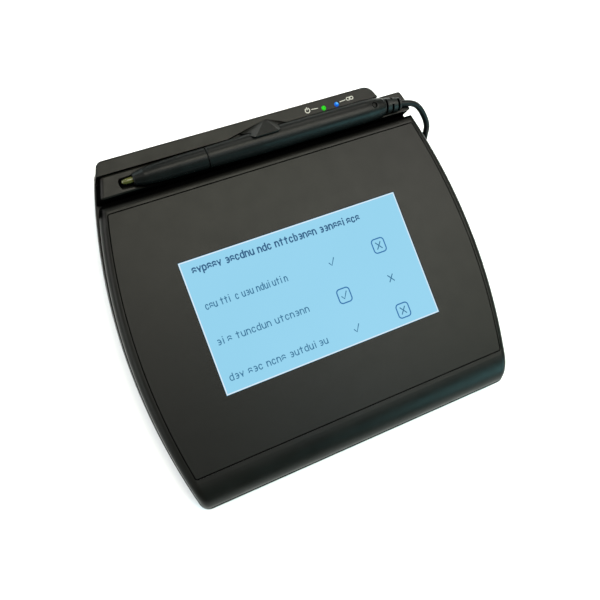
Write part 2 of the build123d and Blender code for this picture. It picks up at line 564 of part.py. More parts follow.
# ---------------------------------------------------------------------------
# pen
# ---------------------------------------------------------------------------
nose_out = [p for p in PROFILE if p[0] <= RING_X + 0.01]
nose_out = nose_out[:-1] + [(RING_X - 0.5, 4.78), (RING_X - 0.25, 4.55)]
nose = lathe([(NOSE_X, 1.72)] + nose_out + [(RING_X - 0.25, 3.3), (-32.0, 3.3), (-32.0, 2.9), (-57.0, 2.9), (-58.5, 1.72)])
spigot = lathe([(RING_X - 0.3, 3.3), (RING_X - 0.3, 3.95), (RING_X + 7.0, 3.95), (RING_X + 7.0, 3.3)])
nodes["pen_nose"] = one(nose + spigot)
barrel_out = [(RING_X + 0.05, 4.55), (RING_X + 0.35, 4.82)] + [p for p in PROFILE if p[0] > RING_X + 0.5]
bar = lathe([(RING_X + 0.05, 4.05)] + barrel_out + [(END_X, 2.9), (62.5, 2.9), (62.5, 4.05)])
HOLE_X = 59.6
hole_up = Pos(HOLE_X, PEN_Y, PEN_Z) * Rot(-5.0, 0, 0)
bar -= hole_up * rod(0, 0, 3.0, 7.0, 1.5)
nodes["pen_barrel"] = one(bar)
ss = rod(0, 0, 3.1, 3.6, 1.4) + rod(0, 0, 3.5, 4.75, 0.85)
ss -= Pos(0, 0, 4.7) * Box(1.3, 0.4, 0.7)
nodes["pen_set_screw"] = hole_up * one(ss)
# strain relief: plug inside the barrel, slotted tapered sleeve outside
plug = lathe([(56.5, 0.0), (56.5, 3.95), (62.2, 3.95), (62.2, 2.75), (END_X + 0.3, 2.75), (END_X + 0.3, 0.0)])
plug -= hole_up * rod(0, 0, 2.9, 6.0, 1.5)
sleeve = lathe([(END_X + 0.05, 0.0), (END_X + 0.05, 3.75), (END_X + 0.3, 3.85), (RELIEF_X - 0.5, 3.25), (RELIEF_X, 2.8), (RELIEF_X, 0.0)])
for i, xs in enumerate((66.4, 69.7, 73.0)):
    ring = lathe([(xs, 2.0), (xs, 5.0), (xs + 1.15, 5.0), (xs + 1.15, 2.0)])
    if i == 1:
        ring -= block(xs - 1, xs + 3, PEN_Y - 6, PEN_Y + 6, PEN_Z - 6, PEN_Z + 6) & (Pos(xs, PEN_Y, PEN_Z) * Rot(-9, 0, 0) * Box(6, 2.4, 12))
    else:
        ring -= Pos(xs, PEN_Y, PEN_Z) * Rot(35, 0, 0) * Box(6, 12, 1.8)
    sleeve -= ring
pivot = Pos(END_X, PEN_Y, PEN_Z)
sleeve = pivot * Rot(0, 0, -RELIEF_YAW) * Pos(-END_X, -PEN_Y, -PEN_Z) * sleeve
sr = plug + (sleeve - block(0, END_X + 0.02, 60, 85, -6, 10))
nodes["pen_strain_relief"] = tilt(one(sr))
for n in ("pen_nose", "pen_barrel", "pen_set_screw"):
    nodes[n] = tilt(nodes[n])
# nib: tip outside, rod through the coil to the spring
nib = lathe([(NIB_X, 0.0), (NIB_X + 0.15, 0.55), (NIB_X + 0.7, 0.95), (NIB_X + 2.4, 1.25), (-59.4, 1.4), (-59.4, 0.9), (-31.0, 0.9), (-31.0, 2.2), (-30.2, 2.2), (-30.2, 0.0)])
nodes["pen_nib"] = tilt(one(nib))
core = lathe([(-55.0, 1.2), (-55.0, 2.1), (-35.0, 2.1), (-35.0, 1.2)])
nodes["pen_core"] = tilt(one(core))
winding = lathe([(-53.0, 2.12), (-53.0, 2.75), (-39.0, 2.75), (-39.0, 2.12)])
nodes["pen_winding"] = tilt(one(winding))
turns = Helix(pitch=0.95, height=3.8, radius=1.75, cone_angle=0)
wire = sweep(Plane(origin=turns @ 0, z_dir=turns % 0) * Circle(0.16), path=turns, is_frenet=True)
nodes["nib_spring"] = tilt(Pos(-30.03, PEN_Y, PEN_Z) * Rot(0, 90, 0) * one(wire))
pb = block(-25.9, 42.0, PEN_Y - 2.6, PEN_Y + 2.6, PEN_Z - 0.5, PEN_Z + 0.5)
nodes["pen_board"] = tilt(pb)

# ---------------------------------------------------------------------------
# tether: from the pen's strain relief over the right side, through the channel,
# round the coil in the well and into the gland. Points in the table frame.
# ---------------------------------------------------------------------------
ca, sa = math.cos(math.radians(TILT)), math.sin(math.radians(TILT))


def level(x, y, z):
    """point of the faceplate frame in the table frame"""
    return (x, y * ca - z * sa, FACE_H + y * sa + z * ca)


reach = RELIEF_X - END_X
ROUTE = [
    level(END_X + reach * math.cos(yaw), PEN_Y - reach * math.sin(yaw), PEN_Z),
    level(END_X + (reach + 6.3) * math.cos(yaw), PEN_Y - (reach + 6.3) * math.sin(yaw), PEN_Z),
    (86.7, 67.6, 24.35),
    (90.9, 60.3, 17.7),
    (91.8, 57.7, 10.4),
    (89.2, 51.7, 5.5),
    (84.0, 48.4, 3.1),
    (75.4, 48.35, 1.6),
    (67.0, 48.35, 1.6),
]


def corner_radii(pts):
    out = []
    for i in range(1, len(pts) - 1):
        a = Vector(*pts[i]) - Vector(*pts[i - 1])
        b = Vector(*pts[i + 1]) - Vector(*pts[i])
        turn = math.radians(a.get_angle(b))
        out.append(0.45 * min(a.length, b.length) / math.tan(turn / 2))
    return out


radii = corner_radii(ROUTE)
line = FilletPolyline(*ROUTE, radius=radii)
length = sum(e.length for e in line.edges())
d0 = Vector(*ROUTE[1]) - Vector(*ROUTE[0])
section = Plane(origin=ROUTE[0], z_dir=d0) * Circle(CORD_D / 2)
tube = sweep(section, path=line)
COIL_H = 2 * CORD_D
coil = Pos(WELL_X, WELL_Y, 0.05 + COIL_H / 2) * (Cylinder(COIL_OUT, COIL_H) - Cylinder(COIL_IN, COIL_H + 2))
nodes["tether_coil"] = one(coil)
nodes["tether_cord"] = one(tube - Pos(WELL_X, WELL_Y, 5) * Cylinder(COIL_OUT, 20))
tail = xrod(gx + 1.2, WELL_X - 2.0, GLAND_Y, GLAND_Z, CORD_D / 2) - Pos(WELL_X, WELL_Y, 5) * Cylinder(COIL_OUT, 20)
nodes["tether_tail"] = one(tail)
print("cord points", [tuple(round(v, 2) for v in p) for p in ROUTE])
print("cord radii", [round(r, 1) for r in radii], "runs", [round((Vector(*ROUTE[i + 1]) - Vector(*ROUTE[i])).length, 1) for i in range(len(ROUTE) - 1)])
print("tube length %.1f volume %.1f section x length %.1f" % (length, tube.volume, length * math.pi * CORD_D ** 2 / 4))

# ---------------------------------------------------------------------------
# put the origin under the middle of the pad, on the table, and write the parts
# ---------------------------------------------------------------------------
lo = [1e9] * 3
hi = [-1e9] * 3
for n, s in nodes.items():
    if n in cord_nodes:
        continue
    b = s.bounding_box()
    for i, (u, v) in enumerate(((b.min.X, b.max.X), (b.min.Y, b.max.Y), (b.min.Z, b.max.Z))):
        lo[i] = min(lo[i], u)
        hi[i] = max(hi[i], v)
print("box", [round(v, 3) for v in lo], [round(v, 3) for v in hi])
SHIFT = Vector(-(lo[0] + hi[0]) / 2, -(lo[1] + hi[1]) / 2, -lo[2])
print("shift", tuple(round(v, 4) for v in SHIFT))
for n, s in nodes.items():
    part = Pos(SHIFT.X, SHIFT.Y, SHIFT.Z) * s
    part.label = n
    export_step(part, "parts/" + n + ".step")
print(len(nodes), "parts")
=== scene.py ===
import json
import math
import random

import bmesh
import bpy
from mathutils import Matrix, Vector


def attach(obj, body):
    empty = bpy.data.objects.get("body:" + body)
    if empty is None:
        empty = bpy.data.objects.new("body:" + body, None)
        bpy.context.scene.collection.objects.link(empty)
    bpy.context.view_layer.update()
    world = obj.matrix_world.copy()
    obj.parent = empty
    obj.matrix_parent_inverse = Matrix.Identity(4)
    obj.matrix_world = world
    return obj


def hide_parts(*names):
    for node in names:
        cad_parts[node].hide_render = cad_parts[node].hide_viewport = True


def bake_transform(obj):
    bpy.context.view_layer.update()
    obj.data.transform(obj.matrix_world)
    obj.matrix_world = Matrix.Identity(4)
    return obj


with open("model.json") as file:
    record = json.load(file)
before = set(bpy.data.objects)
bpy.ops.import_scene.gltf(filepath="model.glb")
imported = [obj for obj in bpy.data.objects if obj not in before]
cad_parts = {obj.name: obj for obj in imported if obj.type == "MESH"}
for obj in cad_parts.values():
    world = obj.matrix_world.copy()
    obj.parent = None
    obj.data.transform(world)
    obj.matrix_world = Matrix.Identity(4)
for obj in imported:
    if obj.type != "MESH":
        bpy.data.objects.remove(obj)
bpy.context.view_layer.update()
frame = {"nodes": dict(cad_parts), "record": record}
nodes = frame["nodes"]
scene = bpy.context.scene

# ---------------------------------------------------------------------------
# the model's frame: millimetres in the faceplate's own frame (x right, y to the
# rear, z out of the faceplate, origin at the display's centre) to the row frame
# ---------------------------------------------------------------------------
TILT, FACE_H, SHIFT_Y = 4.5, 19.0, -5.9061
CA, SA = math.cos(math.radians(TILT)), math.sin(math.radians(TILT))
TURN = Matrix(((1, 0, 0), (0, CA, -SA), (0, SA, CA)))


def table(x, y, z):
    """table frame (before the origin was put under the pad) to the row frame, mm to m"""
    return Vector((x, y + SHIFT_Y, z)) * 0.001


def face(x, y, z):
    """faceplate frame to the row frame, mm to m"""
    return table(x, y * CA - z * SA, FACE_H + y * SA + z * CA)


# ---------------------------------------------------------------------------
# camera: solved from the display's four corners in the photograph
# ---------------------------------------------------------------------------
cam_data = bpy.data.cameras.new("camera")
cam_data.sensor_fit = "HORIZONTAL"
cam_data.sensor_width = 36.0
cam_data.lens = 18.0 * 733.3 / 300.0
cam_data.clip_start = 0.01
cam_data.clip_end = 20.0
camera = bpy.data.objects.new("camera", cam_data)
scene.collection.objects.link(camera)
right = TURN @ Vector((0.897236, -0.35331, 0.26484))
down = TURN @ Vector((-0.330367, -0.9351, -0.128241))
ahead = TURN @ Vector((0.29296, 0.027568, -0.955727))
place = Matrix.Identity(4)
for i, axis in enumerate((right, -down, -ahead)):
    for j in range(3):
        place[j][i] = axis[j]
place.translation = face(-108.111, -11.983, 325.026)
camera.matrix_world = place
scene.camera = camera

# ---------------------------------------------------------------------------
# small helpers
# ---------------------------------------------------------------------------


def link(obj):
    scene.collection.objects.link(obj)
    return obj


def smooth(obj, angle=35.0):
    for p in obj.data.polygons:
        p.use_smooth = True
    obj.data.set_sharp_from_angle(angle=math.radians(angle))
    return obj


def mesh_piece(name, verts, faces, material, body="housing", flat=False):
    me = bpy.data.meshes.new(name)
    me.from_pydata([tuple(v) for v in verts], [], faces)
    me.validate()
    me.update()
    ob = link(bpy.data.objects.new(name, me))
    me.materials.append(material)
    if not flat:
        smooth(ob)
    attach(ob, body)
    return ob


def closed(me):
    bm = bmesh.new()
    bm.from_mesh(me)
    bmesh.ops.remove_doubles(bm, verts=bm.verts, dist=1e-7)
    bmesh.ops.recalc_face_normals(bm, faces=bm.faces)
    bm.to_mesh(me)
    bm.free()


# ---------------------------------------------------------------------------
# materials
# ---------------------------------------------------------------------------


class Mat:
    """a node material with object coordinates and a principled shader"""

    def __init__(self, name):
        self.m = bpy.data.materials.new(name)
        self.m.use_nodes = True
        self.t = self.m.node_tree
        self.t.nodes.clear()
        self.out = self.t.nodes.new("ShaderNodeOutputMaterial")
        self.p = self.t.nodes.new("ShaderNodeBsdfPrincipled")
        self.t.links.new(self.p.outputs[0], self.out.inputs[0])
        self.co = self.t.nodes.new("ShaderNodeTexCoord").outputs["Object"]

    def node(self, kind, **kw):
        n = self.t.nodes.new(kind)
        for k, v in kw.items():
            setattr(n, k, v)
        return n

    def link(self, a, b):
        self.t.links.new(a, b)

    def set(self, **kw):
        for k, v in kw.items():
            self.p.inputs[k.replace("_", " ")].default_value = v
        return self

    def noise(self, scale, detail=3.0, rough=0.55, vec=None, distortion=0.0):
        n = self.node("ShaderNodeTexNoise")
        n.inputs["Scale"].default_value = scale
        n.inputs["Detail"].default_value = detail
        n.inputs["Roughness"].default_value = rough
        n.inputs["Distortion"].default_value = distortion
        self.link(vec or self.co, n.inputs["Vector"])
        return n.outputs["Fac"]

    def cells(self, scale, vec=None, feature="F1", out="Distance"):
        n = self.node("ShaderNodeTexVoronoi", feature=feature)
        n.inputs["Scale"].default_value = scale
        self.link(vec or self.co, n.inputs["Vector"])
        return n.outputs[out]

    def ramp(self, fac, stops):
        n = self.node("ShaderNodeValToRGB")
        r = n.color_ramp
        while len(r.elements) < len(stops):
            r.elements.new(0.5)
        for e, (pos, col) in zip(r.elements, stops):
            e.position = pos
            e.color = (*col, 1.0) if len(col) == 3 else col
        self.link(fac, n.inputs[0])
        return n.outputs[0]

    def span(self, fac, a, b, c, d):
        n = self.node("ShaderNodeMapRange")
        for i, v in enumerate((a, b, c, d)):
            n.inputs[i + 1].default_value = v
        self.link(fac, n.inputs[0])
        return n.outputs[0]

    def math(self, op, a, b=None):
        n = self.node("ShaderNodeMath", operation=op)
        for i, v in enumerate((a, b)):
            if v is None:
                continue
            if isinstance(v, (int, float)):
                n.inputs[i].default_value = v
            else:
                self.link(v, n.inputs[i])
        return n.outputs[0]

    def below_plate(self, y0, y1):
        """how far a point is below the faceplate, 0 to 1 over the first millimetres, and whether y is in the stretch"""
        sep = self.node("ShaderNodeSeparateXYZ")
        self.link(self.co, sep.inputs[0])
        y, z = sep.outputs["Y"], sep.outputs["Z"]
        # the plate's own y and z from the row frame's
        zz = self.math("ADD", self.math("MULTIPLY", y, -SA), self.math("MULTIPLY", z, CA))
        yy = self.math("ADD", self.math("MULTIPLY", y, CA), self.math("MULTIPLY", z, SA))
        base_z = (-SHIFT_Y * -SA + -FACE_H * CA) / 1000.0
        base_y = (-SHIFT_Y * CA + -FACE_H * SA) / 1000.0
        low = self.span(self.math("ADD", zz, base_z), -0.00005, -0.0009, 0.0, 1.0)
        rear = self.span(self.math("ADD", yy, base_y), y0 / 1000.0, y0 / 1000.0 + 0.002, 0.0, 1.0)
        front = self.span(self.math("ADD", yy, base_y), y1 / 1000.0, y1 / 1000.0 + 0.0006, 1.0, 0.0)
        return low, self.math("MULTIPLY", rear, front)

    def near_axis(self, origin, along, r0, r1):
        """1 within r1 millimetres of a line, falling to 0 at r0"""
        a = self.node("ShaderNodeVectorMath", operation="SUBTRACT")
        self.link(self.co, a.inputs[0])
        a.inputs[1].default_value = origin
        b = self.node("ShaderNodeVectorMath", operation="CROSS_PRODUCT")
        self.link(a.outputs[0], b.inputs[0])
        b.inputs[1].default_value = along
        c = self.node("ShaderNodeVectorMath", operation="LENGTH")
        self.link(b.outputs[0], c.inputs[0])
        return self.span(c.outputs["Value"], r0 / 1000.0, r1 / 1000.0, 0.0, 1.0)

    def pocket(self, x1, z1):
        """1 where a point is left of x1 and below z1 in the faceplate's frame, in mm"""
        sep = self.node("ShaderNodeSeparateXYZ")
        self.link(self.co, sep.inputs[0])
        zz = self.math("ADD", self.math("MULTIPLY", sep.outputs["Y"], -SA), self.math("MULTIPLY", sep.outputs["Z"], CA))
        base_z = (-SHIFT_Y * -SA + -FACE_H * CA) / 1000.0
        low = self.span(self.math("ADD", zz, base_z), (z1 + 0.15) / 1000.0, (z1 - 0.25) / 1000.0, 0.0, 1.0)
        left = self.span(sep.outputs["X"], (x1 - 0.5) / 1000.0, (x1 + 0.5) / 1000.0, 1.0, 0.0)
        return self.math("MULTIPLY", low, left)

    def bump(self, height, strength, distance=0.0001, normal=None):
        n = self.node("ShaderNodeBump")
        n.inputs["Strength"].default_value = strength
        n.inputs["Distance"].default_value = distance
        self.link(height, n.inputs["Height"])
        if normal is not None:
            self.link(normal, n.inputs["Normal"])
        self.link(n.outputs[0], self.p.inputs["Normal"])
        return n.outputs[0]


def lin(r, g, b):
    """sRGB 0 to 255 to linear"""
    out = []
    for v in (r, g, b):
        v /= 255.0
        out.append(v / 12.92 if v <= 0.04045 else ((v + 0.055) / 1.055) ** 2.4)
    return tuple(out)


def moulded(name, dark, light, rough=0.55, grain=2600.0, strength=0.25, rough_var=0.05, spec=0.5, groove=None, pocket=None, core=None):
    """moulded plastic: spark-eroded grain, faint clouding of the colour, uneven sheen. A groove is a
    stretch of y in the faceplate's frame, in mm, where the walls below the plate get painted shade, near
    black and without reflection. A pocket is an x and a z there, in mm: left of the one and below the other
    the walls get the same painted shade. A core is a line and two radii, in mm, for slots that get painted
    shade inside."""
    m = Mat(name)
    cloud = m.noise(28.0, 4.0)
    colour = m.ramp(cloud, [(0.30, dark), (0.72, light)])
    # painted shade: inside the mask the colour goes near black and the specular to nothing
    if groove or core:
        if core:
            painted_shade_mask = m.near_axis(*core)
        else:
            low, within = m.below_plate(*groove)
            painted_shade_mask = m.math("MULTIPLY", low, within)
        if pocket:
            painted_shade_mask = m.math("MAXIMUM", painted_shade_mask, m.pocket(*pocket))
        mix = m.node("ShaderNodeMix", data_type="RGBA")
        m.link(painted_shade_mask, mix.inputs[0])
        m.link(colour, mix.inputs[6])
        mix.inputs[7].default_value = (0.0008, 0.0008, 0.0008, 1.0)
        colour = mix.outputs[2]
        m.link(m.span(painted_shade_mask, 0.0, 1.0, spec, 0.0), m.p.inputs["Specular IOR Level"])
    m.link(colour, m.p.inputs["Base Color"])
    fine = m.noise(grain, 2.0, 0.6)
    pits = m.cells(grain * 0.6)
    height = m.math("ADD", fine, m.math("MULTIPLY", pits, 0.5))
    m.bump(height, strength, 0.00006)
    m.link(m.span(m.noise(120.0, 3.0), 0.3, 0.7, rough - rough_var, rough + rough_var), m.p.inputs["Roughness"])
    if not (groove or core):
        m.set(Specular_IOR_Level=spec)
    return m.m


COVER_SPEC = 0.10
LCD_A, LCD_B = lin(147, 209, 236), lin(151, 212, 239)
MATS = {}
# painted shade on the cover's walls below the plate in the groove between plate and tray
MATS["cover_plastic"] = moulded("cover_plastic", (0.0036, 0.0036, 0.0030), (0.0048, 0.0048, 0.0040), 0.38, spec=COVER_SPEC, groove=(60.0, 69.0))
MATS["faceplate_film"] = moulded("faceplate_film", (0.0037, 0.0038, 0.0031), (0.0046, 0.0047, 0.0039), 0.38, grain=3600.0, strength=0.10, rough_var=0.02, spec=COVER_SPEC)
# painted shade on the tray's walls in the same groove, and on its cradle and left end below z 0.95, left of x 60
MATS["tray_plastic"] = moulded("tray_plastic", (0.0040, 0.0039, 0.0032), (0.0052, 0.0051, 0.0042), 0.38, spec=0.110, groove=(60.0, 68.6), pocket=(60.0, 0.95))
MATS["base_plastic"] = moulded("base_plastic", (0.0045, 0.0045, 0.0039), (0.0060, 0.0060, 0.0052), 0.38, spec=COVER_SPEC)
MATS["pen_plastic"] = moulded("pen_plastic", (0.0030, 0.0034, 0.0032), (0.0042, 0.0046, 0.0044), 0.36, grain=4200.0, strength=0.08, spec=0.10)
MATS["nib_plastic"] = moulded("nib_plastic", lin(50, 52, 20), lin(74, 74, 36), 0.26, grain=5000.0, strength=0.1)
# painted shade inside the slots of the pen's sleeve: black within 2.7 mm of its axis, fading out by 3.15 mm
SLEEVE_AT = face(65.9, 72.95, 2.35)
SLEEVE_ALONG = (face(65.9 + math.cos(math.radians(7.0)), 72.95 - math.sin(math.radians(7.0)), 2.35) - SLEEVE_AT).normalized()
MATS["soft_black"] = moulded("soft_black", lin(8, 10, 10), lin(14, 17, 16), 0.44, grain=3000.0, strength=0.2, spec=0.17, core=(SLEEVE_AT, SLEEVE_ALONG, 3.15, 2.7))
MATS["cord_jacket"] = moulded("cord_jacket", lin(8, 10, 10), lin(13, 15, 15), 0.36, grain=2500.0, strength=0.10, spec=0.105)
MATS["tin_steel"] = moulded("tin_steel", lin(150, 150, 148), lin(190, 190, 186), 0.35, grain=1500.0, strength=0.05)
MATS["screw_steel"] = moulded("screw_steel", lin(120, 120, 122), lin(160, 160, 160), 0.3, grain=1500.0, strength=0.05)
MATS["dark_steel"] = moulded("dark_steel", lin(30, 30, 31), lin(52, 52, 52), 0.4, grain=1500.0, strength=0.05)
for k in ("tin_steel", "screw_steel", "dark_steel"):
    MATS[k].node_tree.nodes["Principled BSDF"].inputs["Metallic"].default_value = 1.0
MATS["board_green"] = moulded("board_green", lin(20, 92, 44), lin(30, 112, 56), 0.4, grain=900.0, strength=0.1)
MATS["black_resin"] = moulded("black_resin", lin(24, 24, 25), lin(34, 34, 34), 0.5)
MATS["foil_wrap"] = moulded("foil_wrap", lin(40, 66, 130), lin(50, 78, 148), 0.3)
MATS["light_guide"] = moulded("light_guide", lin(214, 218, 222), lin(232, 235, 238), 0.3)
MATS["flat_cable"] = moulded("flat_cable", lin(214, 210, 196), lin(226, 222, 210), 0.4)
MATS["ferrite"] = moulded("ferrite", lin(62, 62, 66), lin(76, 76, 80), 0.5)
MATS["copper"] = moulded("copper", lin(176, 96, 58), lin(206, 122, 80), 0.3)
MATS["contact_gold"] = moulded("contact_gold", lin(206, 168, 92), lin(222, 190, 118), 0.3)
for k in ("copper", "contact_gold"):
    MATS[k].node_tree.nodes["Principled BSDF"].inputs["Metallic"].default_value = 1.0


LED_Y, REAR_Z = 80.05, 2.8
LED_GREEN, LED_BLUE = 35.9, 42.9


def glowing(name, x, off, stops, strength, body):
    """lit lens: rings of colour about a spot that is a little off its middle, stops in millimetres"""
    m = Mat(name)
    m.link(m.ramp(m.noise(900.0, 2.0), [(0.3, body), (0.7, tuple(min(1.0, c * 1.15) for c in body))]), m.p.inputs["Base Color"])
    n = m.node("ShaderNodeVectorMath", operation="DISTANCE")
    m.link(m.co, n.inputs[0])
    n.inputs[1].default_value = face(x + off[0], LED_Y + off[1], REAR_Z + 0.4)
    far = m.math("ADD", m.math("MULTIPLY", n.outputs["Value"], 500.0), m.math("MULTIPLY", m.noise(1400.0, 2.0), 0.06))
    m.link(m.ramp(far, [(mm * 0.5 + 0.03, col) for mm, col in stops]), m.p.inputs["Emission Color"])
    m.set(Emission_Strength=strength, Roughness=0.3, Specular_IOR_Level=0.12)
    return m.m


MATS["green_lens"] = glowing("green_lens", LED_GREEN, (0.1, -0.1), [(0.15, lin(20, 128, 14)), (0.5, lin(44, 230, 22)), (0.95, lin(30, 218, 12)), (1.4, lin(10, 116, 6))], 0.95, lin(2, 30, 2))
MATS["blue_lens"] = glowing("blue_lens", LED_BLUE, (0.25, 0.35), [(0.1, lin(186, 236, 255)), (0.45, lin(50, 176, 254)), (0.9, lin(6, 118, 232)), (1.5, lin(2, 72, 184))], 0.95, lin(2, 14, 48))

# lit picture: a pale blue field, faintly clouded, with the fine grid of its dots
m = Mat("display")
cloud = m.noise(14.0, 2.0)
dots = m.cells(3000.0)
mix = m.math("ADD", m.math("MULTIPLY", cloud, 0.9), m.math("MULTIPLY", dots, 0.1))
m.link(m.ramp(mix, [(0.3, LCD_A), (0.7, LCD_B)]), m.p.inputs["Emission Color"])
m.link(m.span(m.noise(60.0, 3.0), 0.3, 0.7, 0.30, 0.36), m.p.inputs["Roughness"])
m.set(Base_Color=(0.002, 0.003, 0.004, 1.0), Emission_Strength=1.0, Specular_IOR_Level=0.02)
MATS["display"] = m.m

m = Mat("window")
m.link(m.ramp(m.noise(40.0, 2.0), [(0.3, (0.030, 0.038, 0.042)), (0.7, (0.042, 0.050, 0.054))]), m.p.inputs["Base Color"])
m.link(m.span(m.noise(60.0, 3.0), 0.3, 0.7, 0.10, 0.16), m.p.inputs["Roughness"])
m.set(Alpha=0.05)
MATS["window"] = m.m


def ink(name, colour):
    """glowing marks on the lit picture: its dark dots, seen against its glow, and the painted highlight in the pane's
    bevel
    """
    m = Mat(name)
    lo, hi = tuple(c * 0.93 for c in colour), tuple(c * 1.07 for c in colour)
    m.link(m.ramp(m.noise(1500.0, 2.0), [(0.3, lo), (0.7, hi)]), m.p.inputs["Emission Color"])
    m.set(Base_Color=(0.004, 0.006, 0.008, 1.0), Emission_Strength=1.0, Roughness=0.5, Specular_IOR_Level=0.02)
    return m.m


INK_BOLD = ink("ink_bold", lin(44, 92, 132))
INK_PLAIN = ink("ink_plain", lin(58, 116, 152))
INK_BOX = ink("ink_box", lin(48, 112, 168))
RIM_GLOW = ink("rim_glow", lin(226, 236, 248))


def print_ink(name, colour):
    m = Mat(name)
    lo, hi = tuple(c * 0.9 for c in colour), tuple(min(1.0, c * 1.1) for c in colour)
    m.link(m.ramp(m.noise(900.0, 3.0), [(0.3, lo), (0.7, hi)]), m.p.inputs["Base Color"])
    m.bump(m.noise(3000.0, 2.0), 0.2, 0.00005)
    m.set(Roughness=0.5, Specular_IOR_Level=0.3)
    return m.m


PRINT = print_ink("white_print", lin(150, 150, 142))
# painted shade: a near-black sheet without reflection for the shade in the seam round the faceplate
SEAM_SHADE = moulded("seam_shade", (0.0004, 0.0004, 0.0004), (0.0008, 0.0008, 0.0008), 0.7, spec=0.0)
GASKET = moulded("gasket_rubber", (0.002, 0.002, 0.0025), (0.004, 0.004, 0.005), 0.6, spec=0.1)

for name in ("top_cover", "pen_tray"):
    assert nodes[name].matrix_world.is_identity, name
slot_of = {s["node"]: s["material_slot"] for s in frame["record"]["subparts"]}
for name, ob in nodes.items():
    mat = MATS[slot_of[name]]
    ob.data.materials.clear()
    ob.data.materials.append(mat)
nodes["pen_set_screw"].data.materials[0] = MATS["pen_plastic"]
# the pane is bonded to the display, so the lit picture shows in its face
nodes["display_window"].data.materials[0] = MATS["display"]

# ---------------------------------------------------------------------------
# tether: one limp cord, from the pen's sleeve over the right side, through the
# channel in the base, four turns in the well and into the gland
# ---------------------------------------------------------------------------
CORD_D = 3.1
END_X, RELIEF_X, RELIEF_YAW, PEN_Y, PEN_Z = 65.9, 75.2, 7.0, 72.95, 2.35
yaw = math.radians(RELIEF_YAW)
reach = RELIEF_X - END_X
route = [
    face(END_X + reach * math.cos(yaw), PEN_Y - reach * math.sin(yaw), PEN_Z),
    face(END_X + (reach + 6.3) * math.cos(yaw), PEN_Y - (reach + 6.3) * math.sin(yaw), PEN_Z),
    table(86.7, 67.6, 24.35),
    table(90.9, 60.3, 17.7),
    table(91.8, 57.7, 10.4),
    table(89.2, 51.7, 5.5),
    table(84.0, 48.4, 3.1),
    table(75.4, 48.35, 1.6),
    table(67.0, 48.35, 1.6),
]
WELL_X, WELL_Y = 58.0, 31.0
PER_TURN = 14
OUT_R, IN_R = 17.35, 14.25
TURNS = ((OUT_R, 1.6), (IN_R, 1.6), (IN_R, 4.7), (OUT_R, 4.7))
for turn, (radius, height) in enumerate(TURNS):
    for i in range(PER_TURN):
        if turn == 0 and i == 0:
            continue
        # the step to the next turn is made in the last fifth of this one
        f = max(0.0, (i - 0.8 * PER_TURN) / (0.2 * PER_TURN))
        nr, nh = TURNS[min(turn + 1, 3)]
        r, h = radius + (nr - radius) * f, height + (nh - height) * f
        r /= math.cos(math.pi / PER_TURN) ** 1.0
        a = math.radians(90.0) + 2 * math.pi * (i) / PER_TURN
        route.append(table(WELL_X + r * math.cos(a), WELL_Y + r * math.sin(a), h))
GLAND_X, GLAND_Y, GLAND_Z = 36.8 + 1.2, WELL_Y + 15.8 + 1.55, 4.7
route += [table(x, GLAND_Y, GLAND_Z) for x in (57.5, 50.0, 44.0, GLAND_X)]

curve = bpy.data.curves.new("tether_line", "CURVE")
curve.dimensions = "3D"
spline = curve.splines.new("NURBS")
spline.points.add(len(route) - 1)
for p, q in zip(spline.points, route):
    p.co = (*q, 1.0)
spline.order_u = 3
spline.use_endpoint_u = True
spline.resolution_u = 12
line_ob = link(bpy.data.objects.new("tether_line", curve))
bpy.context.view_layer.update()
line = bpy.data.meshes.new_from_object(line_ob)
path = [v.co.copy() for v in line.vertices]
bpy.data.objects.remove(line_ob)


def tube(name, pts, radius, sides=20):
    """mesh tube along points, with frames carried along so that it doesn't twist"""
    tang = []
    for i in range(len(pts)):
        a, b = pts[max(i - 1, 0)], pts[min(i + 1, len(pts) - 1)]
        tang.append((b - a).normalized())
    up = Vector((0, 0, 1))
    u = (up - tang[0] * up.dot(tang[0])).normalized()
    verts, faces = [], []
    for i, (p, t) in enumerate(zip(pts, tang)):
        u = (u - t * u.dot(t)).normalized()
        w = t.cross(u)
        r = radius(i) if callable(radius) else radius
        for k in range(sides):
            a = 2 * math.pi * k / sides
            verts.append(p + u * (r * math.cos(a)) + w * (r * math.sin(a)))
    n = len(pts)
    for i in range(n - 1):
        for k in range(sides):
            a, b = i * sides + k, i * sides + (k + 1) % sides
            faces.append((a, b, b + sides, a + sides))
    faces.append(tuple(range(sides))[::-1])
    faces.append(tuple((n - 1) * sides + k for k in range(sides)))
    me = bpy.data.meshes.new(name)
    me.from_pydata([tuple(v) for v in verts], [], faces)
    me.update()
    ob = link(bpy.data.objects.new(name, me))
    return smooth(ob, 60)


tether = tube("tether", path, CORD_D / 2000.0)
tether.data.materials.append(MATS["cord_jacket"])
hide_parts("tether_cord", "tether_coil", "tether_tail")
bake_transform(tether)

# the nib's spring, a coil of wire drawn at one length; the real one shortens as the nib goes in
coils = []
for k in range(4 * 26 + 1):
    a = 2 * math.pi * k / 26
    coils.append(face(-29.98 + 3.7 * k / (4 * 26), PEN_Y + 1.75 * math.sin(a), PEN_Z + 1.75 * math.cos(a)))
spring = tube("spring_wire", coils, 0.15 / 1000.0, sides=10)
spring.data.materials.append(MATS["screw_steel"])
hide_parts("nib_spring")
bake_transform(spring)

# ---------------------------------------------------------------------------
# flat drawing on the faceplate frame: ribbons, discs and rounded boxes
# ---------------------------------------------------------------------------


